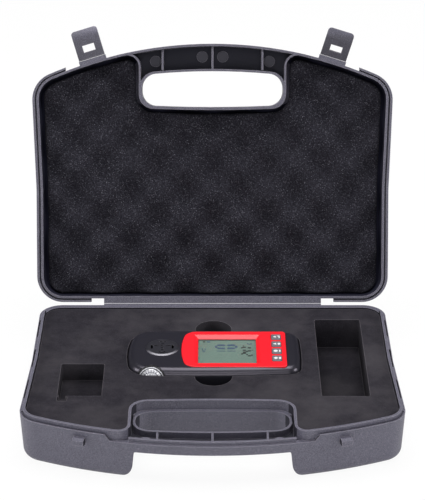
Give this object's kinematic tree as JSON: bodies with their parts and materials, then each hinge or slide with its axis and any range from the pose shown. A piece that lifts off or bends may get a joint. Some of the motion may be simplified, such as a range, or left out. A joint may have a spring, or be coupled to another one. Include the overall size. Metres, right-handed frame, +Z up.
{
  "type": "handheld gas detector in its carrying case",
  "caption": "Hinged plastic carrying case with split handle and latches, cut foam bed, and a lift-out handheld meter with display, keys, sensor grille and alarm lamp.",
  "frame": {"origin": "centre of the case's flat underside", "axes": "+X to the case's right, +Y towards the lid hinge, +Z up"},
  "size_m": [0.2946, 0.3048, 0.2515],
  "materials": {
    "case_plastic": "fine-textured polypropylene",
    "base_foam": "dense closed-cell foam",
    "lid_foam": "open-cell egg-crate foam",
    "body_black": "satin",
    "bezel_red": "satin",
    "key_grey": "satin",
    "display_clear": "clear acrylic",
    "display_green": "reflective liquid crystal display",
    "light_guide": "milky light guide",
    "white_plastic": "satin",
    "rubber_black": "soft rubber",
    "board_green": "solder mask",
    "chip_black": "epoxy",
    "lens_clear": "clear polycarbonate",
    "reflector_bright": "vacuum metallised",
    "lamp_white": "epoxy lens",
    "cell_grey": "sensor can",
    "battery_wrap": "shrink wrap",
    "contact_nickel": "nickel plate",
    "screw_steel": "zinc plate"
  },
  "bodies": {
    "base": {"base_shell": "case_plastic", "hinge_web": "case_plastic", "foam_insert": "base_foam", "foam_bottom_pad": "base_foam"},
    "lid": {"lid_shell": "case_plastic", "lid_foam": "lid_foam"},
    "latch_left": {"latch_left": "case_plastic"},
    "latch_right": {"latch_right": "case_plastic"},
    "meter": {"front_housing": "body_black", "rear_housing": "body_black", "housing_seal": "rubber_black", "face_bezel": "bezel_red", "display_window": "display_clear", "display_glass": "display_green", "display_backlight": "light_guide", "display_frame": "white_plastic", "display_connector": "rubber_black", "circuit_board": "board_green", "board_chips": "chip_black", "key_switches": "chip_black", "sensor_grille": "body_black", "sensor_gasket": "rubber_black", "sensor_filter": "white_plastic", "sensor_cell": "cell_grey", "buzzer": "chip_black", "lamp_lens": "lens_clear", "lamp_reflector": "reflector_bright", "lamp_led": "lamp_white", "battery_cover": "body_black", "battery_cover_screw": "screw_steel", "batteries": "battery_wrap", "battery_contacts": "contact_nickel", "battery_springs": "contact_nickel", "housing_screws": "screw_steel", "board_screws": "screw_steel"},
    "button_1": {"button_1": "key_grey"},
    "button_2": {"button_2": "key_grey"},
    "button_3": {"button_3": "key_grey"},
    "button_4": {"button_4": "key_grey"}
  },
  "joints": [
    {"name": "lid_hinge", "type": "hinge", "parent": "base", "child": "lid", "pos_m": [0, 0.1069, 0.0371], "axis": [1, 0, 0], "range_deg": [0, 111.1]},
    {"name": "latch_left_hinge", "type": "hinge", "parent": "lid", "child": "latch_left", "pos_m": [-0.0985, 0.18076, 0.22615], "axis": [0.9568, 0.1047, 0.2713], "range_deg": [0, 90]},
    {"name": "latch_right_hinge", "type": "hinge", "parent": "lid", "child": "latch_right", "pos_m": [0.0985, 0.18076, 0.22615], "axis": [0.9568, -0.1047, -0.2713], "range_deg": [-26, 64]},
    {"name": "meter_lift", "type": "slide", "parent": "base", "child": "meter", "axis": [0, 0, -1], "range_m": [-0.07, 0]},
    {"name": "button_1_press", "type": "slide", "parent": "meter", "child": "button_1", "axis": [0, 0, -1], "range_m": [0, 0.0006], "stiffness_N_per_m": 600, "springref_m": -0.0008},
    {"name": "button_2_press", "type": "slide", "parent": "meter", "child": "button_2", "axis": [0, 0, -1], "range_m": [0, 0.0006], "stiffness_N_per_m": 600, "springref_m": -0.0008},
    {"name": "button_3_press", "type": "slide", "parent": "meter", "child": "button_3", "axis": [0, 0, -1], "range_m": [0, 0.0006], "stiffness_N_per_m": 600, "springref_m": -0.0008},
    {"name": "button_4_press", "type": "slide", "parent": "meter", "child": "button_4", "axis": [0, 0, -1], "range_m": [0, 0.0006], "stiffness_N_per_m": 600, "springref_m": -0.0008}
  ]
}
